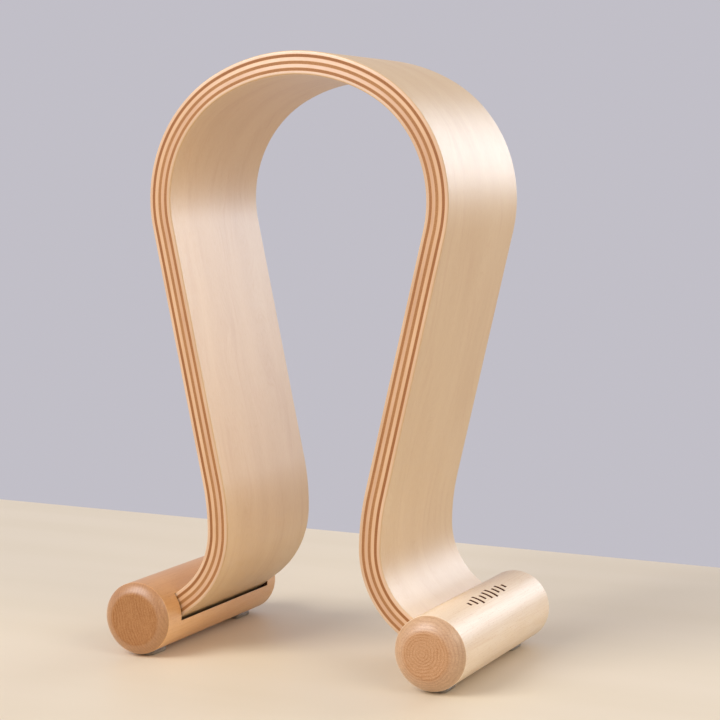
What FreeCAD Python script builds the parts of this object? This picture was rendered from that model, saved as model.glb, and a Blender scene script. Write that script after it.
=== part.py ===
import FreeCAD, Part
import math
import os

import Sketcher
from FreeCAD import Placement, Rotation, Vector

# A headphone stand: one bent band of seven laminated veneers, shaped like an omega, whose two
# ends are pushed into slots in two round wooden bars. The bars lie front to back and are the
# feet; each rests on two soft pads. Millimetres. +Z is up, X runs from the left foot to the
# right foot, -Y is the front. The origin is on the table, midway between the feet.

DRIVING_DIMENSIONS = {
    "overall_height": 270.0,      # table to the top of the band
    "band_depth": 83.0,           # width of the veneers, front to back
    "ply_thick": 1.45,            # one veneer
    "band_rearward": 1.5,         # middle of the band behind the middle of the feet
    "crown_radius": 78.0,         # flatter top of the head, at mid-thickness
    "crown_half_angle": 28.0,     # degrees, from the top to where the shoulder starts
    "shoulder_radius": 56.6,      # rounder shoulder, at mid-thickness
    "leg_lean": 12.7,             # degrees, how far each straight leg leans in
    "leg_run": 116.0,             # length of a straight leg
    "sweep_radius": 104.0,        # gentle start of the outward bend, at mid-thickness
    "sweep_angle": 13.0,          # degrees
    "bend_radius": 38.0,          # tighter rest of the bend above the foot, at mid-thickness
    "tail_slope": 38.0,           # degrees below level, of the end that enters the foot
    "tail_run": 22.6,             # straight length of that end
    "foot_radius": 16.25,
    "right_foot_length": 114.0,
    "right_foot_round": 5.4,      # rounding of that foot's two end edges
    "left_foot_length": 110.0,    # the left bar is cut a little shorter and rounded less
    "left_foot_round": 3.0,
    "foot_offset": 71.25,         # foot axis from the middle plane
    "slot_gap": 1.5,              # open gap beside the band's inner face
    "slot_end_gap": 0.6,          # gap before the band's front edge and behind its rear edge
    "pad_lift": 1.5,              # table to the lowest line of a foot
    "pad_width": 10.0,
    "pad_length": 14.0,
    "pad_height": 2.8,            # block before its top is hollowed
    "pad_corner": 2.5,
    "pad_centre": 40.5,           # pad centre from the middle of the foot
}
PLY_COUNT = 7
PLY_NAMES = (
    "ply_1_outer_face",
    "ply_2_cross",
    "ply_3_long",
    "ply_4_centre_cross",
    "ply_5_long",
    "ply_6_cross",
    "ply_7_inner_face",
)
SHEET = "Sizes"


def make_sheet(doc, values):
    sheet = doc.addObject("Spreadsheet::Sheet", SHEET)
    for row, (name, value) in enumerate(values.items(), start=1):
        sheet.set(f"A{row}", name)
        sheet.set(f"B{row}", repr(value))
        sheet.setAlias(f"B{row}", name)
    doc.recompute()
    return sheet


def along(angle, length):
    """The step of the given length whose direction is angle degrees from +X in the XZ plane."""
    turn = math.radians(angle)
    return Vector(length * math.cos(turn), length * math.sin(turn), 0)


class CentreLine:
    """Right half of the band's mid-thickness line, drawn as x across and y up."""

    def __init__(self, size):
        thick = PLY_COUNT * size["ply_thick"]
        crown_edge = 90 - size["crown_half_angle"]
        lean = size["leg_lean"]
        tail = size["tail_slope"]
        self.crown = Vector(0, size["overall_height"] - thick / 2 - size["crown_radius"], 0)
        self.shoulder = self.crown + along(crown_edge, size["crown_radius"] - size["shoulder_radius"])
        self.leg_top = self.shoulder + along(-lean, size["shoulder_radius"])
        self.leg_foot = self.leg_top + along(-90 - lean, size["leg_run"])
        self.sweep = self.leg_foot + along(-lean, size["sweep_radius"])
        turned = size["sweep_angle"] - lean
        self.bend = self.sweep - along(turned, size["sweep_radius"] - size["bend_radius"])
        self.tail_top = self.bend + along(-90 - tail, size["bend_radius"])
        self.tail_end = self.tail_top + along(-tail, size["tail_run"])


def derived_dimensions(line):
    """Where the end of the bend lies, which places the slots in the feet."""
    return {"tail_top_x": line.tail_top.x, "tail_top_z": line.tail_top.y}


def plane(body, role):
    return next(item for item in body.Origin.OriginFeatures if item.Role == role)


def new_body(doc, name):
    body = doc.addObject("PartDesign::Body", name)
    body.Label = name
    return body


def new_sketch(body, name, role):
    sketch = body.newObject("Sketcher::SketchObject", name)
    sketch.AttachmentSupport = [(plane(body, role), "")]
    sketch.MapMode = "FlatFace"
    return sketch


def size_of(text):
    """Turns each {name} in the text into that cell of the sheet."""
    return text.replace("{", SHEET + ".").replace("}", "")


def dimension(sketch, text, kind, *where):
    """Adds a dimension to the sketch and binds it to an expression over the sheet."""
    expression = size_of(text)
    value = sketch.evalExpression(expression)
    index = sketch.addConstraint(Sketcher.Constraint(kind, *where, value))
    sketch.setExpression(f"Constraints[{index}]", expression)


def join_points(sketch, *pairs):
    for one, one_end, other, other_end in pairs:
        sketch.addConstraint(Sketcher.Constraint("Coincident", one, one_end, other, other_end))


def symmetric(body, kind, name, sketch, length):
    """A Pad or Pocket of the sketch that reaches the same distance to both sides of it."""
    feature = body.newObject(f"PartDesign::{kind}", name)
    feature.Profile = sketch
    feature.SideType = "Symmetric"
    feature.setExpression("Length", size_of(length))
    return feature


def round_edges(body, name, base, chosen, radius):
    """Rounds the edges of the base feature that the test picks."""
    body.Document.recompute()
    edges = base.Shape.Edges
    names = [f"Edge{index}" for index, edge in enumerate(edges, start=1) if chosen(edge)]
    rounded = body.newObject("PartDesign::Fillet", name)
    rounded.Base = (base, names)
    rounded.setExpression("Radius", size_of(radius))
    return rounded


def arc(centre, radius, start, end):
    circle = Part.Circle(centre, Vector(0, 0, 1), radius)
    return Part.ArcOfCircle(circle, math.radians(start), math.radians(end))


def ply_edge(line, size, offset):
    """Crown, shoulder, leg, sweep, bend and tail, this far outside mid-thickness."""
    lean = size["leg_lean"]
    tail = size["tail_slope"]
    turned = 180 - lean + size["sweep_angle"]
    crown_edge = 90 - size["crown_half_angle"]
    leg_shift = along(-lean, offset)
    tail_shift = along(90 - tail, offset)
    return [
        arc(line.crown, size["crown_radius"] + offset, crown_edge, 90),
        arc(line.shoulder, size["shoulder_radius"] + offset, -lean, crown_edge),
        Part.LineSegment(line.leg_top + leg_shift, line.leg_foot + leg_shift),
        arc(line.sweep, size["sweep_radius"] - offset, 180 - lean, turned),
        arc(line.bend, size["bend_radius"] - offset, turned, 270 - tail),
        Part.LineSegment(line.tail_top + tail_shift, line.tail_end + tail_shift),
    ]


def join_edges(sketch, first):
    """Makes the six edges starting at index first run on smoothly; returns their indices."""
    crown, shoulder, leg, sweep, bend, tail = range(first, first + 6)
    for one, one_end, other, other_end in (
        (crown, 1, shoulder, 2),
        (shoulder, 1, leg, 1),
        (leg, 2, sweep, 1),
        (sweep, 2, bend, 1),
        (bend, 2, tail, 1),
    ):
        sketch.addConstraint(Sketcher.Constraint("Tangent", one, one_end, other, other_end))
    return crown, shoulder, leg, sweep, bend, tail


def draw_half_ply(sketch, line, size, number):
    """Closed outline of the right half of ply number 0 (outermost) to 6."""
    offset = (PLY_COUNT / 2 - number) * size["ply_thick"]
    outer_offset = f"({PLY_COUNT / 2 - number} * {{ply_thick}})"
    outer = ply_edge(line, size, offset)
    within = ply_edge(line, size, offset - size["ply_thick"])
    ends = [
        Part.LineSegment(outer[-1].EndPoint, within[-1].EndPoint),
        Part.LineSegment(outer[0].EndPoint, within[0].EndPoint),
    ]
    sketch.addGeometry(outer + within + ends, False)
    crown, shoulder, leg, sweep, bend, tail = join_edges(sketch, 0)
    inner = join_edges(sketch, len(outer))
    inner_crown, inner_shoulder, inner_leg, inner_sweep, inner_bend, inner_tail = inner
    end, middle = 12, 13
    join_points(
        sketch,
        (tail, 2, end, 1),
        (inner_tail, 2, end, 2),
        (crown, 2, middle, 1),
        (inner_crown, 2, middle, 2),
        (inner_crown, 3, crown, 3),
        (inner_shoulder, 3, shoulder, 3),
        (inner_sweep, 3, sweep, 3),
        (inner_bend, 3, bend, 3),
    )
    vertical_axis = -2
    for edge, point in ((crown, 3), (crown, 2), (inner_crown, 2)):
        sketch.addConstraint(Sketcher.Constraint("PointOnObject", edge, point, vertical_axis))
    sketch.addConstraint(Sketcher.Constraint("Perpendicular", end, tail))
    sketch.addConstraint(Sketcher.Constraint("Parallel", inner_tail, tail))
    sketch.addConstraint(Sketcher.Constraint("Parallel", inner_leg, leg))
    turn = "90 + {leg_lean} - "
    thick = f"{PLY_COUNT} * {{ply_thick}}"
    for kind, where, expression in (
        ("DistanceY", (-1, 1, crown, 3), f"{{overall_height}} - {thick} / 2 - {{crown_radius}}"),
        ("Radius", (crown,), f"{{crown_radius}} + {outer_offset}"),
        ("Radius", (shoulder,), f"{{shoulder_radius}} + {outer_offset}"),
        ("Radius", (sweep,), f"{{sweep_radius}} - {outer_offset}"),
        ("Radius", (bend,), f"{{bend_radius}} - {outer_offset}"),
        ("Distance", (middle,), "{ply_thick}"),
        ("Distance", (leg,), "{leg_run}"),
        ("Distance", (tail,), "{tail_run}"),
        ("Angle", (crown,), "{crown_half_angle} * 1 deg"),
        ("Angle", (shoulder,), f"({turn}{{crown_half_angle}}) * 1 deg"),
        ("Angle", (sweep,), "{sweep_angle} * 1 deg"),
        ("Angle", (bend,), f"({turn}{{tail_slope}} - {{sweep_angle}}) * 1 deg"),
    ):
        dimension(sketch, expression, kind, *where)


def make_ply(doc, line, size, number):
    body = new_body(doc, PLY_NAMES[number])
    sketch = new_sketch(body, f"half_profile_{number + 1}", "XZ_Plane")
    draw_half_ply(sketch, line, size, number)
    half = symmetric(body, "Pad", f"half_ply_{number + 1}", sketch, "{band_depth}")
    whole = body.newObject("PartDesign::Mirrored", f"whole_ply_{number + 1}")
    whole.Originals = [half]
    whole.MirrorPlane = (plane(body, "YZ_Plane"), [""])
    body.Tip = whole
    body.setExpression("Placement.Base.y", size_of("{band_rearward}"))
    return body


def draw_slot(sketch, size, line):
    """Rectangle from the tail's top to its end: closed up to the band's outer face, open by
    slot_gap beyond its inner face."""
    tail = size["tail_slope"]
    half_thick = PLY_COUNT * size["ply_thick"] / 2
    near = along(90 - tail, half_thick)
    far = along(90 - tail, -half_thick - size["slot_gap"])
    corners = [line.tail_top + near, line.tail_end + near, line.tail_end + far, line.tail_top + far]
    following = corners[1:] + corners[:1]
    sketch.addGeometry([Part.LineSegment(*ends) for ends in zip(corners, following)], False)
    wall, floor, gap_wall, mouth = range(4)
    join_points(sketch, (wall, 2, floor, 1), (floor, 2, gap_wall, 1), (gap_wall, 2, mouth, 1),
                (mouth, 2, wall, 1))
    sketch.addConstraint(Sketcher.Constraint("Perpendicular", wall, floor))
    sketch.addConstraint(Sketcher.Constraint("Perpendicular", floor, gap_wall))
    sketch.addConstraint(Sketcher.Constraint("Perpendicular", gap_wall, mouth))
    thick = f"{PLY_COUNT} * {{ply_thick}}"
    slope = "({tail_slope} * 1 deg)"
    dimension(sketch, f"-{slope}", "Angle", wall)
    dimension(sketch, "{tail_run}", "Distance", wall)
    dimension(sketch, f"{thick} + {{slot_gap}}", "Distance", floor)
    dimension(sketch, f"{{tail_top_x}} + {thick} / 2 * sin{slope}", "DistanceX", -1, 1, wall, 1)
    dimension(sketch, f"{{tail_top_z}} + {thick} / 2 * cos{slope}", "DistanceY", -1, 1, wall, 1)


def make_foot(doc, size, line, side):
    """A round bar with rounded ends and a slot for the right tail; the left one is turned round."""
    label = f"foot_{side}"
    body = new_body(doc, label)
    outline = new_sketch(body, f"{label}_outline", "XZ_Plane")
    draw_foot_circle(outline, size, size["foot_offset"])
    dimension(outline, "{foot_offset}", "DistanceX", -1, 1, 0, 3)
    bar = symmetric(body, "Pad", f"{label}_bar", outline, f"{{{side}_foot_length}}")
    round_edges(body, f"{label}_rounded", bar, lambda edge: edge.isClosed(),
                f"{{{side}_foot_round}}")
    slot_outline = new_sketch(body, f"{label}_slot_outline", "XZ_Plane")
    turned = side == "left"
    rearward = "{band_rearward}" if turned else "-{band_rearward}"
    slot_outline.setExpression("AttachmentOffset.Base.z", size_of(rearward))
    draw_slot(slot_outline, size, line)
    symmetric(body, "Pocket", f"{label}_slot", slot_outline, "{band_depth} + 2 * {slot_end_gap}")
    body.Placement = Placement(Vector(0, 0, 0), Rotation(Vector(0, 0, 1), 180 if turned else 0))
    return body


def draw_foot_circle(sketch, size, across):
    """The round section of a foot, resting pad_lift above the table."""
    centre = Vector(across, size["foot_radius"] + size["pad_lift"], 0)
    sketch.addGeometry(Part.Circle(centre, Vector(0, 0, 1), size["foot_radius"]), False)
    dimension(sketch, "{foot_radius}", "Radius", 0)
    dimension(sketch, "{foot_radius} + {pad_lift}", "DistanceY", -1, 1, 0, 3)


def make_pad(doc, size, label, across, forward):
    """A soft block with rounded corners, hollowed on top to the round of the foot it carries."""
    body = new_body(doc, label)
    outline = new_sketch(body, f"{label}_outline", "XY_Plane")
    half_width = size["pad_width"] / 2
    half_length = size["pad_length"] / 2
    corners = [
        Vector(-half_width, -half_length, 0),
        Vector(half_width, -half_length, 0),
        Vector(half_width, half_length, 0),
        Vector(-half_width, half_length, 0),
    ]
    following = corners[1:] + corners[:1]
    outline.addGeometry([Part.LineSegment(*ends) for ends in zip(corners, following)], False)
    join_points(outline, (0, 2, 1, 1), (1, 2, 2, 1), (2, 2, 3, 1), (3, 2, 0, 1))
    for kind, edge in (("Horizontal", 0), ("Vertical", 1), ("Horizontal", 2), ("Vertical", 3)):
        outline.addConstraint(Sketcher.Constraint(kind, edge))
    outline.addConstraint(Sketcher.Constraint("Symmetric", 0, 1, 1, 2, -1, 1))
    dimension(outline, "{pad_width}", "Distance", 0)
    dimension(outline, "{pad_length}", "Distance", 1)
    block = body.newObject("PartDesign::Pad", f"{label}_block")
    block.Profile = outline
    block.setExpression("Length", size_of("{pad_height}"))
    tall = size["pad_height"] / 2
    round_edges(body, f"{label}_rounded", block, lambda edge: edge.BoundBox.ZLength > tall,
                "{pad_corner}")
    hollow = new_sketch(body, f"{label}_hollow_outline", "XZ_Plane")
    draw_foot_circle(hollow, size, 0)
    hollow.addConstraint(Sketcher.Constraint("PointOnObject", 0, 3, -2))
    symmetric(body, "Pocket", f"{label}_hollow", hollow, "2 * {pad_length}")
    body.Placement = Placement(Vector(across, forward, 0), Rotation())
    return body


def check(doc, bodies):
    """Stops before anything is written if an object failed or a shape isn't one valid solid."""
    for item in doc.Objects:
        if {"Invalid", "Error"} & set(item.State):
            raise RuntimeError(f"{item.Name}: {item.State}")
        if item.TypeId == "Sketcher::SketchObject" and not item.FullyConstrained:
            raise RuntimeError(f"{item.Name} is not fully constrained")
        if item.TypeId == "PartDesign::Pocket":
            before = item.BaseFeature.Shape.Volume
            if item.Shape.Volume > before - 1:
                raise RuntimeError(f"{item.Name} removed nothing")
    for body in bodies:
        shape = body.Shape
        if shape.isNull() or not shape.isValid() or len(shape.Solids) != 1:
            raise RuntimeError(f"{body.Label} is not one valid solid")


def main():
    doc = FreeCAD.newDocument("headphone_stand")
    size = dict(DRIVING_DIMENSIONS)
    line = CentreLine(size)
    make_sheet(doc, {**size, **derived_dimensions(line)})
    bodies = [make_ply(doc, line, size, number) for number in range(PLY_COUNT)]
    for side, across in (("right", 1), ("left", -1)):
        bodies.append(make_foot(doc, size, line, side))
        for end, forward in (("front", -1), ("rear", 1)):
            place = across * size["foot_offset"], forward * size["pad_centre"]
            bodies.append(make_pad(doc, size, f"pad_{side}_{end}", *place))
    doc.recompute()
    check(doc, bodies)
    os.makedirs("parts", exist_ok=True)
    for body in bodies:
        body.Shape.exportStep(f"parts/{body.Label}.step")


main()
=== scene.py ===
import math

import bmesh
import bpy
from mathutils import Matrix, Vector


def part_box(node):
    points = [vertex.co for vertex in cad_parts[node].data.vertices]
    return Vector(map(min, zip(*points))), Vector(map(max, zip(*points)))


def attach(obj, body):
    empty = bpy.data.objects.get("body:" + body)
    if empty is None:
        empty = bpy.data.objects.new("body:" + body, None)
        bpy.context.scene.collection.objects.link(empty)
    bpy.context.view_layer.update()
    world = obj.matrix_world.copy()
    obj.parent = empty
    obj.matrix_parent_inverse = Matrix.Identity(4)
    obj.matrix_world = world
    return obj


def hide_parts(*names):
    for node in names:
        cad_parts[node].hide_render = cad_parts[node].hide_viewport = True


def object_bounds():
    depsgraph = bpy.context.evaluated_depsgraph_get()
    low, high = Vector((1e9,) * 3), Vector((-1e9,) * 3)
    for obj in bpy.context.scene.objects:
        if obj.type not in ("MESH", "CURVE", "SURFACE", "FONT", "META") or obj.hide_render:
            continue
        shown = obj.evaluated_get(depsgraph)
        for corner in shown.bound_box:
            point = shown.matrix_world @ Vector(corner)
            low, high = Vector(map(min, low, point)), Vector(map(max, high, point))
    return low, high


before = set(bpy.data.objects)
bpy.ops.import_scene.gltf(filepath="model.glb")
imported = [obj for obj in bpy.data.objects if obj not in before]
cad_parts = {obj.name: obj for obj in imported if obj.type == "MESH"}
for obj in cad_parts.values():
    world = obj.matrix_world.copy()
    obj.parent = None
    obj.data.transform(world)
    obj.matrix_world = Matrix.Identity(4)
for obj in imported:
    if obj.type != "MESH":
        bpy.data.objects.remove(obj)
CAD_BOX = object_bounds()

# A bent laminated headphone stand. Metres, +Z up, -Y the front. Sizes that end in MM are
# millimetres, because the grain patterns are laid out in millimetres.
MM = 0.001
BODY = "root"

# ---------------------------------------------------------------- the band's centre line

PLY_NODES = (
    "ply_1_outer_face",
    "ply_2_cross",
    "ply_3_long",
    "ply_4_centre_cross",
    "ply_5_long",
    "ply_6_cross",
    "ply_7_inner_face",
)
PLY_THICK = 1.45 * MM
BAND_THICK = PLY_THICK * len(PLY_NODES)
CROWN_RADIUS = 78.0 * MM       # radii and lengths are those of the centre line
CROWN_HALF_ANGLE = 28.0        # angles are in degrees
SHOULDER_RADIUS = 56.6 * MM
LEG_LEAN = 12.7                # the legs close in by this much towards the bottom
LEG_RUN = 116.0 * MM
SWEEP_RADIUS = 104.0 * MM      # the slow start of the bend out towards the foot
SWEEP_ANGLE = 13.0
BEND_RADIUS = 38.0 * MM
TAIL_SLOPE = 38.0              # the tail goes out and down into the foot, this far below level
TAIL_RUN = 22.6 * MM
SLOT_GAP = 1.5 * MM            # room in the foot's slot at the band's inner face
SLOT_END_GAP = 0.6 * MM        # and at its front and rear edges

# Right half from the top: how far it turns in degrees (left is positive), its radius, or its
# length where it doesn't turn, and how many steps the mesh takes along it.
CENTRE_RUNS = (
    (-CROWN_HALF_ANGLE, CROWN_RADIUS, 12),
    (CROWN_HALF_ANGLE - 90 - LEG_LEAN, SHOULDER_RADIUS, 40),
    (0, LEG_RUN, 20),
    (SWEEP_ANGLE, SWEEP_RADIUS, 10),
    (90 + LEG_LEAN - SWEEP_ANGLE - TAIL_SLOPE, BEND_RADIUS, 28),
    (0, TAIL_RUN, 5),
)


def step_along(x, z, heading, turn, size, share):
    """Where the line is after a share of one run, and its new heading in radians."""
    if not turn:
        run = size * share
        return x + run * math.cos(heading), z + run * math.sin(heading), heading
    angle = math.radians(turn) * share
    radius = math.copysign(size, turn)
    new = heading + angle
    x += radius * (math.sin(new) - math.sin(heading))
    z += radius * (math.cos(heading) - math.cos(new))
    return x, z, new


def half_line():
    """Stations of the right half from the top down: (distance, x, z, heading)."""
    x, z, heading, distance = 0.0, CAD_BOX[1].z - BAND_THICK / 2, 0.0, 0.0
    stations = [(0.0, x, z, heading)]
    for turn, size, steps in CENTRE_RUNS:
        length = abs(math.radians(turn)) * size if turn else size
        for step in range(1, steps + 1):
            share = step / steps
            reached = step_along(x, z, heading, turn, size, share)
            stations.append((distance + length * share, *reached))
        distance += length
        x, z, heading = stations[-1][1:]
    return stations


def whole_line():
    """Stations from the left end to the right end: (distance, point, outward direction)."""
    right = []
    for distance, x, z, heading in half_line():
        outward = Vector((-math.sin(heading), 0, math.cos(heading)))
        right.append((distance, Vector((x, 0, z)), outward))
    flip = Vector((-1, 1, 1))
    left = [(-distance, point * flip, outward * flip)
            for distance, point, outward in right[:0:-1]]
    return left + right


LINE = whole_line()

# ---------------------------------------------------------------- mesh helpers


def new_object(name, data):
    """An object in the scene that shows this mesh, lamp or camera."""
    piece = bpy.data.objects.new(name, data)
    bpy.context.scene.collection.objects.link(piece)
    return piece


def finished_mesh(build, name):
    """The mesh that was being built, under this name."""
    mesh = bpy.data.meshes.new(name)
    build.to_mesh(mesh)
    build.free()
    return mesh


def tube(build, rings):
    """Faces between each closed ring of vertices and the next."""
    count = len(rings[0])
    for one, other in zip(rings, rings[1:]):
        for index in range(count):
            after = (index + 1) % count
            build.faces.new((one[index], one[after], other[after], other[index]))


def smooth(mesh, sharpest):
    """Smooth shading, except across edges sharper than this many degrees."""
    mesh.polygons.foreach_set("use_smooth", [True] * len(mesh.polygons))
    mesh.set_sharp_from_angle(angle=math.radians(sharpest))


def store(mesh, name, kind, values):
    """Keeps one number or vector for each vertex, for the material to read."""
    layer = mesh.attributes.new(name=name, type=kind, domain="POINT")
    if kind == "FLOAT":
        layer.data.foreach_set("value", values)
    else:
        layer.data.foreach_set("vector", [number for vector in values for number in vector])


def declare(piece, node):
    """Hangs the piece on the body and hides the CAD node it stands for."""
    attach(piece, BODY)
    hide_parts(node)


# ---------------------------------------------------------------- plies

EASE = 0.75 * MM           # rounding of the exposed long edges of the two face plies
EASE_STEPS = 5
SUPPORT = 0.5 * MM         # a line of vertices just inside the rounding keeps the face flat
PLY_SHARP = 32             # edges of a ply sharper than this many degrees stay sharp
PLY_APART_MM = 2000.0      # shift of the grain from one ply to the next


def ply_section(low, high, half_depth, ease_low, ease_high):
    """Closed section of one ply: (y, offset from the centre line, share of edge)."""
    corners = (
        (-1, low, 1, ease_low),
        (1, low, 1, ease_low),
        (1, high, -1, ease_high),
        (-1, high, -1, ease_high),
    )
    points = []
    for side, offset, inward, eased in corners:
        corner = corner_points(side, offset, inward, eased, half_depth)
        points += corner if side * inward < 0 else corner[::-1]
    return points


def corner_points(side, offset, inward, eased, half_depth):
    """Points of one corner, from the front or rear edge round to the broad face."""
    if not eased:
        return [(side * half_depth, offset, 1.0)]
    points = []
    for step in range(EASE_STEPS + 1):
        share = step / EASE_STEPS
        turn = share * math.pi / 2
        y = side * (half_depth - EASE + EASE * math.cos(turn))
        points.append((y, offset + inward * (EASE - EASE * math.sin(turn)), 1 - share))
    points.append((side * (half_depth - EASE - SUPPORT), offset, 0.0))
    return points


def make_ply(number):
    """One veneer, bent along the centre line; number counts from 0 at the outer face."""
    node = PLY_NODES[number]
    high = BAND_THICK / 2 - number * PLY_THICK
    low = high - PLY_THICK
    front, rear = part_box(node)[0].y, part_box(node)[1].y
    middle = Vector((0, (front + rear) / 2, 0))
    innermost, outermost = number == len(PLY_NODES) - 1, number == 0
    section = ply_section(low, high, (rear - front) / 2, innermost, outermost)
    build = bmesh.new()
    rings, grain, edge, across_grain = [], [], [], []
    for distance, point, outward in LINE:
        ring = []
        for y, offset, share in section:
            place = point + middle + outward * offset + Vector((0, y, 0))
            ring.append(build.verts.new(place))
            depth = offset - (low + high) / 2
            grain.append((distance / MM + number * PLY_APART_MM, y / MM, depth / MM))
            edge.append(share)
            across_grain.append(outward)
        rings.append(ring)
    tube(build, rings)
    build.faces.new(rings[0])
    build.faces.new(rings[-1][::-1])
    bmesh.ops.recalc_face_normals(build, faces=build.faces)
    name = f"veneer_{number + 1}"
    mesh = finished_mesh(build, name)
    store(mesh, "grain", "FLOAT_VECTOR", grain)
    store(mesh, "edge", "FLOAT", edge)
    store(mesh, "across_grain", "FLOAT_VECTOR", across_grain)
    smooth(mesh, PLY_SHARP)
    piece = new_object(name, mesh)
    declare(piece, node)
    return piece


# ---------------------------------------------------------------- feet

# Each end is a flat disc, then a ring that falls away to the side of the bar.
END_DISC = {"right": 9.6 * MM, "left": 11.1 * MM}      # radius of the flat disc
END_DEPTH = {"right": 4.9 * MM, "left": 3.0 * MM}      # length of the ring along the bar
DISC_SHARES = (0.12, 0.3, 0.5, 0.7, 0.86, 0.97, 1.0)   # where rings of vertices cross the disc
RING_START, RING_STOP = 12.0, 58.0                     # degrees the ring leans from the disc
RING_STEPS = 12
END_ROWS = len(DISC_SHARES) + RING_STEPS + 1           # rings of vertices in each rounded end
RING_FADE = 0.25           # how far the end grain's colour fades across the ring
RIM = 0.22 * MM            # narrow softened edge where the ring meets the side
LIP = 0.08 * MM            # softened edge of the slot
LIP_STEPS = 2
SLOT_STEPS = 12            # steps of the mesh along half the slot
SLOT_PAINTED_SHADE = 0.95           # painted shade: how dark the inside of the slot is painted
SLOT_CLEAR = 5 * MM        # the slot stays at least this far from the bar's ends
COLUMN_STEP = 4            # degrees between lines of vertices round the bar
MOUTH_NEAR = 1             # degrees such a line keeps from the edges of the slot
FOOT_SHARP = 8             # edges of a foot sharper than this many degrees stay sharp
FOOT_APART_MM = 400        # shift of the grain from the right foot to the left
TOUCHING = 1e-6            # lengths in metres or angles in degrees closer than this are one

# A plain row of burnt bars on the right foot.
MARK_ANGLE = 72.0          # degrees up from level
MARK_CENTRE = 0.3 * MM
MARK_PITCH = 5.2 * MM
MARK_BAR = 2.4 * MM        # width of one bar
MARK_HEIGHTS = (1.2, 2.2, 3.3, 1.8, 2.9, 3.6, 2.1, 2.8, 1.4)   # half heights of the bars, mm
MARK_REACH = 6 * MM        # no bar reaches further from the middle of the row
MARK_NEAR = 0.3            # mm or degrees: other lines of vertices keep this far from a bar's
BURN_DEPTH = 0.2 * MM
BURN_WALL = 0.12 * MM      # width of the sloping side of a burnt bar
BURN_SLACK = 0.01 * MM     # a point this little outside a bar is still on its edge


class Bar:
    """Sizes of one foot, from the CAD.

    Both feet are built on the right, and the left one is turned half round later, which swaps
    its front and rear.
    """

    def __init__(self, side):
        low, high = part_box(f"foot_{side}")
        band_low, band_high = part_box(PLY_NODES[0])
        self.side = side
        self.marked = side == "right"
        self.centre = (low + high) / 2
        self.centre.x = abs(self.centre.x)
        self.radius = (high.z - low.z) / 2
        self.half_length = (high.y - low.y) / 2
        self.straight = self.half_length - END_DEPTH[side] - RIM   # half the plain round part
        self.slot_half = (band_high.y - band_low.y) / 2 + SLOT_END_GAP
        self.slot_middle = (band_low.y + band_high.y) / 2 * (1 if side == "right" else -1)
        self.slot_floor = slot_corners()
        self.opens = mouth_angle(self.slot_floor[0], self.centre, self.radius)
        self.closes = mouth_angle(self.slot_floor[1], self.centre, self.radius)


def slot_corners():
    """Floor corners of the right slot, at the band's outer face and beyond its inner face."""
    _, end, outward = LINE[-1]
    return end + outward * BAND_THICK / 2, end - outward * (BAND_THICK / 2 + SLOT_GAP)


def mouth_angle(corner, centre, radius):
    """Where the slot wall that ends at this corner comes out of the bar, degrees from +X."""
    slope = math.radians(TAIL_SLOPE)
    wall = Vector((-math.cos(slope), 0, math.sin(slope)))
    start = corner - centre
    along = start.dot(wall)
    reach = -along + math.sqrt(along * along - start.dot(start) + radius * radius)
    mouth = start + wall * reach
    return math.degrees(math.atan2(mouth.z, mouth.x)) % 360


def bars():
    """(middle y, half height) of each burnt bar on the right foot."""
    first = MARK_CENTRE - MARK_PITCH * (len(MARK_HEIGHTS) - 1) / 2
    return [(first + MARK_PITCH * index, half * MM) for index, half in enumerate(MARK_HEIGHTS)]


def burn_share(y, up):
    """1 on the floor of a burnt bar, 0 outside it; up is the distance along the round."""
    for middle, half in bars():
        inside = min(MARK_BAR / 2 - abs(y - middle), half - abs(up))
        if inside > -BURN_SLACK:
            return min(1.0, max(0.0, inside / BURN_WALL))
    return 0.0


def mark_lines(radius):
    """Extra grid lines that follow the sides of the bars: (y values, angles)."""
    along, around = [], []
    for middle, half in bars():
        for side in (-1, 1):
            along += [middle + side * MARK_BAR / 2, middle + side * (MARK_BAR / 2 - BURN_WALL)]
            for reach in (half, half - BURN_WALL):
                around.append(MARK_ANGLE + side * math.degrees(reach / radius))
    return along, around


def end_profile(bar):
    """(y, radius) of the rear end from near its middle out to the straight bar."""
    disc, depth = END_DISC[bar.side], END_DEPTH[bar.side]
    profile = [(bar.half_length, disc * share) for share in DISC_SHARES]
    first, last = math.radians(RING_START), math.radians(RING_STOP)
    for step in range(1, RING_STEPS + 1):
        turn = first + (last - first) * step / RING_STEPS
        out = (math.sin(turn) - math.sin(first)) / (math.sin(last) - math.sin(first))
        down = (math.cos(first) - math.cos(turn)) / (math.cos(first) - math.cos(last))
        profile.append((bar.half_length - depth * down, disc + (bar.radius - RIM - disc) * out))
    profile.append((bar.straight, bar.radius))
    return profile


def merged(values):
    """The sorted values without any that touches the one before."""
    kept = []
    for value in sorted(values):
        if not kept or value - kept[-1] > TOUCHING:
            kept.append(value)
    return kept


def bar_grid(bar):
    """Rings of the bar's mesh as (y, radius), and the angles of the vertices in each."""
    along = [bar.slot_middle + bar.slot_half * step / SLOT_STEPS
             for step in range(-SLOT_STEPS, SLOT_STEPS + 1)]
    mouth = [bar.opens, bar.closes]
    around = mouth + [angle for angle in range(0, 360, COLUMN_STEP)
                      if min(abs(angle - other) for other in mouth) > MOUTH_NEAR]
    if bar.marked:
        mark_along, mark_around = mark_lines(bar.radius)
        along = [y for y in along
                 if min(abs(y - other) for other in mark_along) > MARK_NEAR * MM] + mark_along
        around = [angle for angle in around
                  if min(abs(angle - other) for other in mark_around) > MARK_NEAR] + mark_around
    rear = end_profile(bar)
    front = [(-y, radius) for y, radius in rear]
    straight = [(y, bar.radius) for y in merged(along)]
    return front + straight + rear[::-1], merged(around)


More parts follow.
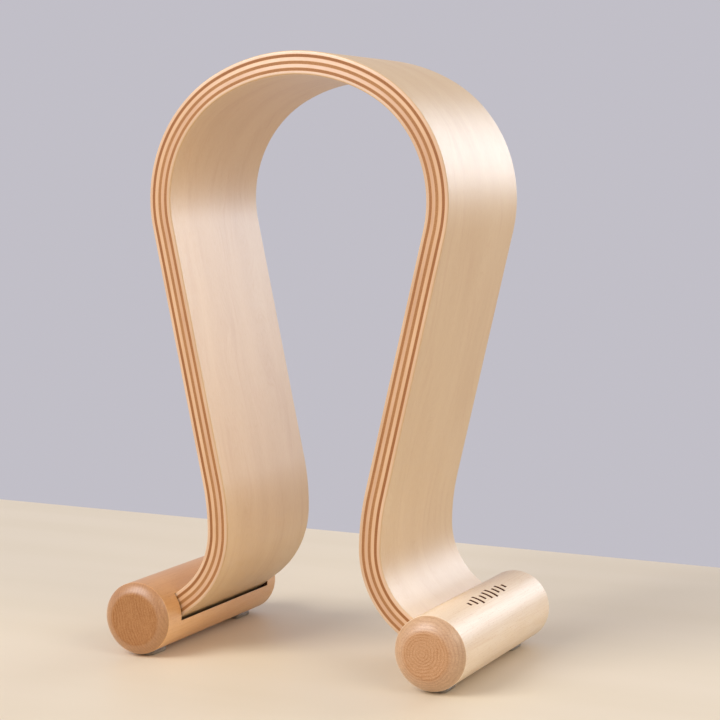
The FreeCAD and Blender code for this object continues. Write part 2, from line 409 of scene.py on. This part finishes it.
def bar_rings(build, bar, profile, around):
    """The bar's vertices, ring by ring, sunk where the mark is burnt in."""
    rings = []
    for y, radius in profile:
        ring = []
        for angle in around:
            sunk = 0.0
            if bar.marked and radius == bar.radius:
                sunk = burn_share(y, math.radians(angle - MARK_ANGLE) * radius) * BURN_DEPTH
            turn = math.radians(angle)
            x = bar.centre.x + (radius - sunk) * math.cos(turn)
            z = bar.centre.z + (radius - sunk) * math.sin(turn)
            ring.append(build.verts.new((x, y, z)))
        rings.append(ring)
    return rings


def bar_skin(build, bar, rings, profile, around):
    """The bar's round face, left open over the slot, and its two flat ends."""
    count = len(around)
    for row, (one, other) in enumerate(zip(rings, rings[1:])):
        middle = (profile[row][0] + profile[row + 1][0]) / 2
        over_slot = abs(middle - bar.slot_middle) < bar.slot_half
        for index in range(count):
            after = (index + 1) % count
            angle = (around[index] + (around[after] if after else 360.0)) / 2
            if over_slot and bar.opens < angle < bar.closes:
                continue
            build.faces.new((one[index], one[after], other[after], other[index]))
    for ring, y in ((rings[0], -bar.half_length), (rings[-1], bar.half_length)):
        tip = build.verts.new((bar.centre.x, y, bar.centre.z))
        for index in range(count):
            build.faces.new((ring[index], ring[(index + 1) % count], tip))


def cut_slot(build, bar, rings, profile, around):
    """Adds the slot's walls and floor inside the opening; returns the edges of its mouth."""
    rows = [row for row in range(END_ROWS, len(profile) - END_ROWS)
            if abs(profile[row][0] - bar.slot_middle) <= bar.slot_half + TOUCHING]
    columns = [index for index, angle in enumerate(around) if bar.opens <= angle <= bar.closes]
    floor = []
    for corner in bar.slot_floor:
        floor.append([build.verts.new((corner.x, profile[row][0], corner.z)) for row in rows])
    for column, low in ((columns[0], floor[0]), (columns[-1], floor[1])):
        high = [rings[row][column] for row in rows]
        for index in range(len(rows) - 1):
            build.faces.new((high[index], high[index + 1], low[index + 1], low[index]))
    near, far = floor
    for index in range(len(rows) - 1):
        build.faces.new((near[index], near[index + 1], far[index + 1], far[index]))
    mouth = {rings[row][column] for row in rows for column in (columns[0], columns[-1])}
    for index in (0, -1):
        arc = [rings[rows[index]][column] for column in columns]
        build.faces.new(arc + [far[index], near[index]])
        mouth |= set(arc)
    return [edge for edge in build.edges
            if set(edge.verts) <= mouth and len(edge.link_faces) == 2]


def bar_marks(mesh, bar, pith, roll):
    """What the wood's material reads at each vertex: its grain, the burnt mark together with
    painted shade inside the slot, and end grain.
    """
    burn_and_slot_shade, grain, cut = [], [], []
    disc = END_DISC[bar.side]
    shift = FOOT_APART_MM * (bar.side == "left")
    rolled = Matrix.Rotation(math.radians(roll), 2)
    for vertex in mesh.vertices:
        x, y, z = vertex.co - Vector((bar.centre.x, 0, bar.centre.z))
        reach = math.hypot(x, z)
        up = math.radians(math.degrees(math.atan2(z, x)) - MARK_ANGLE) * bar.radius
        on_bar = bar.marked and reach < bar.radius + TOUCHING and abs(y) < bar.slot_half
        scorch = burn_share(y, up) if on_bar and abs(up) < MARK_REACH else 0.0
        in_slot = abs(y) < bar.half_length - SLOT_CLEAR and reach < bar.radius - LIP / 2
        # the burnt mark, and painted shade on the walls and floor inside the slot
        burn_and_slot_shade.append(scorch or (SLOT_PAINTED_SHADE if in_slot else 0.0))
        fade = RING_FADE * max(0.0, (reach - disc) / (bar.radius - disc))
        cut.append(1.0 - fade if abs(y) > bar.straight + TOUCHING else 0.0)
        across = rolled @ Vector((x, z))
        grain.append((y / MM + shift, across.x / MM - pith[0], across.y / MM - pith[1]))
    return (("grain", "FLOAT_VECTOR", grain), ("burn_and_slot_shade", "FLOAT", burn_and_slot_shade), ("cut", "FLOAT", cut))


def make_foot(side, pith, roll):
    """A round bar with rounded ends and a slot, turned half round for the left foot."""
    node = f"foot_{side}"
    bar = Bar(side)
    profile, around = bar_grid(bar)
    build = bmesh.new()
    rings = bar_rings(build, bar, profile, around)
    bar_skin(build, bar, rings, profile, around)
    lips = cut_slot(build, bar, rings, profile, around)
    loose = [vertex for vertex in build.verts if not vertex.link_faces]
    bmesh.ops.delete(build, geom=loose, context="VERTS")
    bmesh.ops.recalc_face_normals(build, faces=build.faces)
    bmesh.ops.bevel(build, geom=lips, offset=LIP, segments=LIP_STEPS, profile=0.5,
                    affect="EDGES")
    mesh = finished_mesh(build, f"{node}_bar")
    marks = bar_marks(mesh, bar, pith, roll)
    if side == "left":
        mesh.transform(Matrix.Rotation(math.pi, 4, "Z"))
    for name, kind, values in marks:
        store(mesh, name, kind, values)
    smooth(mesh, FOOT_SHARP)
    piece = new_object(f"{node}_bar", mesh)
    declare(piece, node)
    return piece


# ---------------------------------------------------------------- pads

PAD_CORNER = 2.5 * MM
PAD_CORNER_STEPS = 6
PAD_SHARP = 50             # edges of a pad sharper than this many degrees stay sharp
PAD_LAYERS = (             # share of the height, and how far the outline is drawn in, mm
    (0.0, 1.1),
    (0.0, 0.55),
    (0.05, 0.25),
    (0.16, 0.08),
    (0.38, 0.0),
    (0.62, 0.03),
    (0.84, 0.14),
    (0.96, 0.32),
    (1.0, 0.6),
    (1.0, 1.4),
)


def pad_outline(half_width, half_length, inset):
    """Rounded rectangle, drawn in by inset."""
    points = []
    reach = PAD_CORNER - inset
    for sx, sy, start in ((1, 1, 0), (-1, 1, 90), (-1, -1, 180), (1, -1, 270)):
        for step in range(PAD_CORNER_STEPS + 1):
            turn = math.radians(start + 90 * step / PAD_CORNER_STEPS)
            points.append((sx * (half_width - PAD_CORNER) + reach * math.cos(turn),
                           sy * (half_length - PAD_CORNER) + reach * math.sin(turn)))
    return points


def make_pad(side, end):
    """A soft clear bumper, hollowed on top by the foot that rests on it."""
    node = f"pad_{side}_{end}"
    low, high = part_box(node)
    foot_low, foot_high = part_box(f"foot_{side}")
    centre = (low + high) / 2
    foot_radius = (foot_high.z - foot_low.z) / 2
    foot_height = (foot_high.z + foot_low.z) / 2
    build = bmesh.new()
    rings = []
    for share, inset in PAD_LAYERS:
        ring = []
        for x, y in pad_outline((high.x - low.x) / 2, (high.y - low.y) / 2, inset * MM):
            top = foot_height - math.sqrt(foot_radius ** 2 - x * x)
            ring.append(build.verts.new((centre.x + x, centre.y + y, share * top)))
        rings.append(ring)
    tube(build, rings)
    for ring in (rings[0], rings[-1]):
        cap(build, ring)
    bmesh.ops.recalc_face_normals(build, faces=build.faces)
    mesh = finished_mesh(build, f"{node}_bumper")
    smooth(mesh, PAD_SHARP)
    piece = new_object(f"{node}_bumper", mesh)
    declare(piece, node)
    return piece


def cap(build, ring):
    """Closes a pad's outline with strips across it, so that a hollowed top stays hollow."""
    half = len(ring) // 2
    start = half // 2
    turned = ring[start:] + ring[:start]
    right, left = turned[:half], turned[half:][::-1]
    for index in range(half - 1):
        build.faces.new((right[index], right[index + 1], left[index + 1], left[index]))


# ---------------------------------------------------------------- materials

MIX_SHARE, MIX_ONE, MIX_OTHER, MIX_RESULT = 0, 6, 7, 2     # a Mix node's sockets for colours
NOISE_LOW, NOISE_HIGH = 0.3, 0.7                           # noise seldom leaves this range


class Graph:
    """A material's nodes, added one at a time."""

    def __init__(self, name):
        self.material = bpy.data.materials.new(name)
        self.material.use_nodes = True
        self.nodes = self.material.node_tree.nodes
        self.links = self.material.node_tree.links
        self.nodes.clear()

    def feed(self, socket, value):
        """Joins another node's output to this input, or sets the input's own value."""
        if isinstance(value, bpy.types.NodeSocket):
            self.links.new(value, socket)
        elif isinstance(value, tuple) and socket.type == "RGBA":
            socket.default_value = (*value, 1.0)
        else:
            socket.default_value = value

    def add(self, kind, output, inputs, **settings):
        """A node of this kind with its settings and inputs; returns the wanted output."""
        node = self.nodes.new("ShaderNode" + kind)
        for name, value in settings.items():
            setattr(node, name, value)
        for key, value in inputs.items():
            self.feed(node.inputs[key], value)
        return node.outputs[output]

    def kept(self, name, output="Vector"):
        """What the mesh stores under this name."""
        return self.add("Attribute", output, {}, attribute_name=name)

    def own_place(self):
        """The place on the piece in its own frame, in metres."""
        return self.add("TexCoord", "Object", {})

    def noise(self, vector, sizes, detail=2.0, rough=0.5):
        """Smooth random value near 0.5 whose features have these sizes."""
        scaled = self.add("VectorMath", 0, {0: vector, 1: sizes}, operation="DIVIDE")
        inputs = {"Vector": scaled, "Scale": 1.0, "Detail": detail, "Roughness": rough}
        return self.add("TexNoise", "Fac", inputs)

    def math(self, operation, *values):
        return self.add("Math", 0, dict(enumerate(values)), operation=operation)

    def sum(self, one, other):
        return self.math("ADD", one, other)

    def times(self, one, other):
        return self.math("MULTIPLY", one, other)

    def third(self, vector):
        """The last of the vector's three numbers."""
        return self.add("SeparateXYZ", "Z", {0: vector})

    def remap(self, value, low, high, start=0.0, end=1.0):
        """Start below low, end above high, and a smooth change between them."""
        inputs = {"Value": value, "From Min": low, "From Max": high, "To Min": start, "To Max": end}
        return self.add("MapRange", 0, inputs, interpolation_type="SMOOTHSTEP")

    def spread(self, noise, start=0.0, end=1.0):
        """Start at the noise's usual low, end at its usual high."""
        return self.remap(noise, NOISE_LOW, NOISE_HIGH, start, end)

    def between(self, share, start, end):
        """Start where share is 0, end where it is 1."""
        return self.remap(share, 0.0, 1.0, start, end)

    def mix(self, share, one, other, **settings):
        """The first colour where share is 0, the other where it is 1."""
        inputs = {MIX_SHARE: share, MIX_ONE: one, MIX_OTHER: other}
        return self.add("Mix", MIX_RESULT, inputs, data_type="RGBA", **settings)

    def shade(self, share, colour, tint):
        """The colour, multiplied by the tint where share is 1."""
        return self.mix(share, colour, tint, blend_type="MULTIPLY")

    def bump(self, height, distance, strength):
        inputs = {"Height": height, "Distance": distance, "Strength": strength}
        return self.add("Bump", 0, inputs)

    def finish(self, **inputs):
        """Closes the graph with a Principled surface whose inputs are given by name."""
        named = {name.replace("_", " "): value for name, value in inputs.items()}
        surface = self.add("BsdfPrincipled", 0, named)
        output = self.nodes.new("ShaderNodeOutputMaterial")
        self.links.new(surface, output.inputs["Surface"])
        return self.material


# The broad faces of the long grain plies, and the tints that vary them.
FACE_LIGHT = (0.700, 0.472, 0.212)
FACE_DARK = (0.660, 0.428, 0.178)
FACE_BAND = (0.955, 0.91, 0.855)
FACE_MOTTLE = (0.985, 0.975, 0.96)
FACE_FIBRE = (0.97, 0.945, 0.915)
FACE_FLECK = (0.82, 0.71, 0.60)
FACE_DASH = (0.84, 0.72, 0.60)
FACE_SWAY = 34.0           # how far the streaks wander across the band, mm

# The sawn edges, and the tints that vary them.
RIMS = {                   # light and dark tone of each ply's sawn edge, from the outside in
    1: ((0.63, 0.405, 0.245), (0.58, 0.355, 0.20)),
    2: ((0.290, 0.112, 0.026), (0.240, 0.084, 0.016)),
    3: ((0.62, 0.375, 0.20), (0.57, 0.33, 0.16)),
    4: ((0.360, 0.168, 0.054), (0.295, 0.124, 0.034)),
    5: ((0.57, 0.325, 0.17), (0.51, 0.28, 0.135)),
    6: ((0.330, 0.145, 0.043), (0.275, 0.105, 0.026)),
    7: ((0.57, 0.365, 0.215), (0.52, 0.32, 0.175)),
}
EDGE_DRIFT = (0.90, 0.84, 0.78)
GLUE_LINE = (0.86, 0.76, 0.66)
GLUE_FROM, GLUE_TO = 0.56, 0.725       # where the glue line starts and is full, mm from the middle
LONG_LINES = (16.0, 40.0, 0.16)        # feature sizes along, across and through the band, mm
CROSS_LINES = (0.45, 40.0, 0.9)
CORES = {2: 0.50, 4: 0.53, 6: 0.50}    # half width of each cross ply's dark middle, mm
CORE_FADE = 0.2                        # the dark middle fades out over this width, mm
CORE_BORDER = (0.56, 0.30, 0.120)

# The turned feet.
# Colour of the burnt mark, and of the painted shade inside the slot.
BURN_AND_SLOT_SHADE = (0.075, 0.028, 0.016)
RING_TURN = 4.6            # radians of the growth ring pattern to a millimetre
RING_WOBBLE = 3.0          # how far the rings wander, mm
WOOD_FIBRE = (0.93, 0.87, 0.80)
WOOD_RING = (0.94, 0.90, 0.85)
WOOD_FLECK = (0.84, 0.74, 0.63)
WOOD_TOP_TINT = (0.80, 0.71, 0.63)
END_RAY = (0.86, 0.79, 0.71)
END_RING = (0.84, 0.76, 0.68)


def veneer_face(graph, grain):
    """Colour and height of a pale broad veneer face, its grain along the band.

    The sizes are along the band, from front to rear and through it, in mm, as they are for the
    edges and the feet.
    """
    sway = graph.noise(grain, (75.0, 26.0, 9.0), 1.0)
    aside = graph.add("CombineXYZ", 0, {"Y": graph.times(sway, FACE_SWAY)})
    bent = graph.add("VectorMath", 0, {0: grain, 1: aside}, operation="ADD")
    drift = graph.noise(grain, (80.0, 16.0, 9.0), 2.0)
    streak = graph.noise(bent, (60.0, 4.2, 9.0), 3.0, 0.55)
    patch = graph.noise(grain, (45.0, 18.0, 9.0), 1.0)
    mottle = graph.noise(grain, (2.6, 1.2, 9.0), 2.0)
    fibre = graph.noise(bent, (6.0, 0.32, 9.0), 2.0, 0.6)
    fleck = graph.noise(grain, (2.6, 0.3, 9.0), 1.0)
    dash = graph.noise(grain, (9.0, 0.42, 9.0), 1.0)
    where = graph.noise(grain, (38.0, 12.0, 9.0), 1.0)
    bands = graph.times(graph.remap(streak, 0.44, 0.68), graph.remap(patch, 0.38, 0.62))
    spots = graph.times(graph.remap(fleck, 0.68, 0.80), graph.remap(where, 0.42, 0.6))
    colour = graph.mix(graph.spread(drift), FACE_LIGHT, FACE_DARK)
    colour = graph.shade(bands, colour, FACE_BAND)
    colour = graph.shade(graph.remap(mottle, 0.35, 0.7), colour, FACE_MOTTLE)
    colour = graph.shade(graph.remap(fibre, 0.45, 0.72), colour, FACE_FIBRE)
    colour = graph.shade(spots, colour, FACE_FLECK)
    colour = graph.shade(graph.remap(dash, 0.77, 0.85), colour, FACE_DASH)
    return colour, graph.sum(graph.times(fibre, 0.6), graph.times(mottle, 0.5))


def veneer_edge(graph, grain, edge, light, dark, sizes):
    """Colour of a sawn and sanded veneer edge, and the fine lines in it."""
    drift = graph.noise(grain, (30.0, 50.0, 3.0), 2.0)
    lines = graph.noise(grain, sizes, 2.0, 0.6)
    from_middle = graph.math("ABSOLUTE", graph.third(grain))
    glue = graph.times(graph.remap(from_middle, GLUE_FROM, GLUE_TO), graph.remap(edge, 0.75, 1.0))
    colour = graph.mix(graph.spread(lines), light, dark)
    colour = graph.shade(graph.remap(drift, 0.35, 0.65), colour, EDGE_DRIFT)
    return graph.shade(glue, colour, GLUE_LINE), lines


def long_veneer(number, light, dark):
    """A ply whose grain runs along the band; its sawn edge shines where fibres lie level."""
    graph = Graph(f"pale_long_grain_veneer_{number}")
    grain = graph.kept("grain")
    edge = graph.kept("edge", "Fac")
    face, height = veneer_face(graph, grain)
    rim, _ = veneer_edge(graph, grain, edge, light, dark, LONG_LINES)
    return graph.finish(
        Base_Color=graph.mix(edge, face, rim),
        Roughness=graph.remap(height, 0.3, 0.8, 0.44, 0.54),
        Normal=graph.bump(height, 0.02 * MM, 0.5),
        Coat_Weight=graph.between(edge, 1.0, 0.0),
        Coat_Roughness=0.48,
        IOR=1.8,
        Specular_IOR_Level=graph.between(edge, 0.55, 1.0),
        Anisotropic=graph.times(edge, 0.78),
        Tangent=graph.kept("across_grain"),
    )


def cross_veneer(number, light, dark, core):
    """A ply seen end on at the front and rear; core is half the width of its dark middle, mm."""
    graph = Graph(f"brown_cross_grain_veneer_{number}")
    grain = graph.kept("grain")
    edge = graph.kept("edge", "Fac")
    middle, lines = veneer_edge(graph, grain, edge, light, dark, CROSS_LINES)
    from_middle = graph.math("ABSOLUTE", graph.third(grain))
    border = graph.remap(from_middle, core, core + CORE_FADE)
    return graph.finish(
        Base_Color=graph.mix(border, middle, CORE_BORDER),
        Roughness=graph.spread(lines, 0.5, 0.62),
        Normal=graph.bump(lines, 0.05 * MM, 0.5),
    )


def growth_rings(graph, grain, drift):
    """1 on the dark line of each growth ring, fainter in places."""
    wobble = graph.noise(grain, (60.0, 9.0, 9.0), 2.0)
    flat = graph.add("VectorMath", 0, {0: grain, 1: (0.0, 1.0, 1.0)}, operation="MULTIPLY")
    reach = graph.add("VectorMath", "Value", {0: flat}, operation="LENGTH")
    wandering = graph.sum(reach, graph.times(wobble, RING_WOBBLE))
    wave = graph.math("SINE", graph.times(wandering, RING_TURN))
    return graph.times(graph.remap(wave, -0.2, 1.0), graph.remap(drift, 0.35, 0.6, 0.35, 1.0))


def wood_side(graph, grain, drift, rings, top_darkening, light, dark):
    """Colour along the turned side, and its fibres, with its upper part darker by the given share.
    """
    fibre = graph.noise(grain, (22.0, 0.45, 0.45), 3.0, 0.6)
    fleck = graph.noise(grain, (1.9, 0.28, 0.28), 1.0)
    # darker towards the top of the bar
    darker_top = graph.times(graph.remap(graph.third(grain), -4.0, 7.0), top_darkening)
    colour = graph.mix(graph.spread(drift), light, dark)
    colour = graph.shade(darker_top, colour, WOOD_TOP_TINT)
    colour = graph.shade(graph.remap(fibre, 0.42, 0.72), colour, WOOD_FIBRE)
    colour = graph.shade(graph.times(rings, 0.3), colour, WOOD_RING)
    return graph.shade(graph.remap(fleck, 0.62, 0.74), colour, WOOD_FLECK), fibre


def wood_end(graph, grain, rings, ray_size, light, dark):
    """Colour of the end grain, and its pores."""
    pores = graph.noise(grain, (3.0, 0.5, 0.5), 3.0, 0.65)
    rays = graph.noise(grain, ray_size, 2.0, 0.6)
    colour = graph.mix(graph.spread(pores), light, dark)
    colour = graph.shade(graph.remap(rays, 0.46, 0.68), colour, END_RAY)
    return graph.shade(graph.times(rings, 0.9), colour, END_RING), pores


def solid_wood(name, ray_size, top_darkening, light, dark, cut_light, cut_dark):
    """Turned hardwood: two tones along its sides and two on its end grain."""
    graph = Graph(name)
    grain = graph.kept("grain")
    burn_and_slot_shade = graph.kept("burn_and_slot_shade", "Fac")
    end = graph.kept("cut", "Fac")
    drift = graph.noise(grain, (70.0, 7.0, 7.0), 2.0)
    rings = growth_rings(graph, grain, drift)
    side, fibre = wood_side(graph, grain, drift, rings, top_darkening, light, dark)
    cut, pores = wood_end(graph, grain, rings, ray_size, cut_light, cut_dark)
    relief = graph.sum(graph.times(fibre, 0.6), graph.times(pores, end))
    bare = graph.math("MAXIMUM", burn_and_slot_shade, graph.remap(end, 0.9, 1.0, 0.0, 0.7))
    # The burnt mark and the painted shade inside the slot pull the colour towards the dark burn
    # colour.
    return graph.finish(
        Base_Color=graph.mix(burn_and_slot_shade, graph.mix(end, side, cut), BURN_AND_SLOT_SHADE),
        Roughness=graph.remap(relief, 0.3, 1.2, 0.46, 0.58),
        Normal=graph.bump(relief, 0.03 * MM, 0.5),
        Coat_Weight=graph.between(bare, 0.8, 0.0),
        Coat_Roughness=graph.remap(end, 0.0, 0.7, 0.46, 0.34),
        Specular_IOR_Level=graph.between(bare, 0.5, 0.0),
    )


# The pads' two tones are painted shade: dark brown-grey as the rubber looks in the shadow under the
# foot, darker than the clear rubber itself.
RUBBER_PAINTED_SHADE_LIGHT = (0.42, 0.36, 0.28)
RUBBER_PAINTED_SHADE_DARK = (0.31, 0.26, 0.195)
RUBBER_CLOUD = (2.5 * MM,) * 3
RUBBER_GRIT = (0.2 * MM,) * 3
TABLE_LIGHT = (0.735, 0.635, 0.480)
TABLE_DARK = (0.71, 0.61, 0.450)
TABLE_DRIFT = (0.4, 0.05, 0.4)     # metres


def clear_rubber():
    """Frosted soft rubber that lets some light through, with the shade under the foot painted into
    its colour.
    """
    graph = Graph("frosted_clear_rubber_painted_shade")
    place = graph.own_place()
    cloud = graph.noise(place, RUBBER_CLOUD, 3.0)
    grit = graph.noise(place, RUBBER_GRIT, 2.0)
    return graph.finish(
        Base_Color=graph.mix(graph.spread(cloud), RUBBER_PAINTED_SHADE_LIGHT, RUBBER_PAINTED_SHADE_DARK),
        Roughness=graph.spread(grit, 0.28, 0.45),
        Normal=graph.bump(grit, 0.03 * MM, 0.4),
        IOR=1.41,
        Transmission_Weight=0.35,
    )


def pale_table():
    """A smooth pale table top with a slight drift in its colour."""
    graph = Graph("plain_pale_table")
    drift = graph.noise(graph.own_place(), TABLE_DRIFT, 2.0)
    return graph.finish(
        Base_Color=graph.mix(graph.spread(drift), TABLE_LIGHT, TABLE_DARK),
        Roughness=0.5,
        Coat_Weight=0.3,
        Coat_Roughness=0.45,
    )


# ---------------------------------------------------------------- stage

TABLE_REAR = 0.265                             # the table ends this far behind the origin
TABLE_REACH = 3.0                              # and this far away on its other sides
AIM = Vector((0.0, 0.0, 0.12))                 # what the lamps point at
LIGHTS = (     # name, azimuth and elevation in degrees, distance, size, watts, colour
    ("key", -150, 34, 2.1, (1.3, 1.4), 41.0, (1.0, 0.985, 0.97)),
    ("rear", 26, 19, 2.2, (1.3, 1.0), 18.0, (0.80, 0.885, 1.0)),
    ("fill", 112, 32, 2.2, (1.2, 0.8), 11.0, (1.0, 0.90, 0.75)),
)
WORLD = (0.535, 0.52, 0.575)
CAMERA_PLACE = (0.38434, -0.80806, 0.22353)
CAMERA_LENS, CAMERA_SENSOR = 99.41, 36.0       # mm
CAMERA_TURN, CAMERA_DROP, CAMERA_ROLL = 24.64, 5.74, 0.54    # degrees


def make_floor():
    """The table, whose rear edge shows behind the stand."""
    corners = [
        (-TABLE_REACH, -TABLE_REACH, 0),
        (TABLE_REACH, -TABLE_REACH, 0),
        (TABLE_REACH, TABLE_REAR, 0),
        (-TABLE_REACH, TABLE_REAR, 0),
    ]
    mesh = bpy.data.meshes.new("table_top")
    mesh.from_pydata(corners, [], [(0, 1, 2, 3)])
    table = new_object("table_top", mesh)
    mesh.materials.append(pale_table())


def make_light(name, azimuth, elevation, distance, size, power, colour):
    """A soft rectangular lamp that points at the stand and isn't seen itself.

    Azimuth is in degrees from straight behind the stand towards its right.
    """
    lamp = bpy.data.lights.new(name, "AREA")
    lamp.shape = "RECTANGLE"
    lamp.size, lamp.size_y = size
    lamp.energy = power
    lamp.color = colour
    turn, rise = math.radians(azimuth), math.radians(elevation)
    level = math.cos(rise)
    away = Vector((math.sin(turn) * level, math.cos(turn) * level, math.sin(rise)))
    holder = new_object(name, lamp)
    holder.location = AIM + away * distance
    holder.rotation_euler = (-away).to_track_quat("-Z", "Y").to_euler()
    holder.visible_camera = False


def make_world():
    """Even light from all round."""
    world = bpy.data.worlds.new("studio")
    world.use_nodes = True
    world.node_tree.nodes["Background"].inputs["Color"].default_value = (*WORLD, 1.0)
    bpy.context.scene.world = world


def make_camera():
    """Looks down at the stand from its front right."""
    camera = bpy.data.cameras.new("camera")
    camera.lens = CAMERA_LENS
    camera.sensor_width = CAMERA_SENSOR
    holder = new_object("camera", camera)
    turn = Matrix.Rotation(math.radians(CAMERA_TURN), 3, "Z")
    tilt = Matrix.Rotation(math.radians(90 - CAMERA_DROP), 3, "X")
    roll = Matrix.Rotation(math.radians(CAMERA_ROLL), 3, "Z")
    holder.matrix_world = Matrix.Translation(CAMERA_PLACE) @ (turn @ tilt @ roll).to_4x4()
    bpy.context.scene.camera = holder


# ---------------------------------------------------------------- assembly

# Light and dark tones along a foot's side, then light and dark tones of its end grain.
PALE = ((0.87, 0.69, 0.475), (0.84, 0.65, 0.43), (0.53, 0.305, 0.160), (0.41, 0.223, 0.110))
TAN = ((0.79, 0.455, 0.185), (0.73, 0.400, 0.155), (0.40, 0.195, 0.078), (0.30, 0.135, 0.048))
LEVEL_RAYS = (3.0, 2.6, 0.24)      # feature sizes along and across the bar, mm
UPRIGHT_RAYS = (3.0, 0.24, 2.6)
# Side, place of the tree's middle in mm, roll of the grain in degrees, rays, how much
# darker the upper part of the side is, and tones.
FEET = (
    ("right", (-1.5, 0.5), 6.0, LEVEL_RAYS, 0.0, PALE),
    ("left", (-48.0, 6.0), 8.0, UPRIGHT_RAYS, 1.0, TAN),
)


def add_band():
    """All the veneers, from the outer face in."""
    for number in range(len(PLY_NODES)):
        light, dark = RIMS[number + 1]
        if number % 2:
            finish = cross_veneer(number + 1, light, dark, CORES[number + 1])
        else:
            finish = long_veneer(number + 1, light, dark)
        make_ply(number).data.materials.append(finish)


def add_feet():
    """Both bars and the two bumpers under each."""
    rubber = clear_rubber()
    for side, pith, roll, rays, top_darkening, tones in FEET:
        wood = solid_wood(f"turned_{side}_bar", rays, top_darkening, *tones)
        make_foot(side, pith, roll).data.materials.append(wood)
        for end in ("front", "rear"):
            make_pad(side, end).data.materials.append(rubber)


make_camera()
bpy.context.scene.view_settings.view_transform = "Standard"
make_world()
for light in LIGHTS:
    make_light(*light)
make_floor()
add_band()
add_feet()
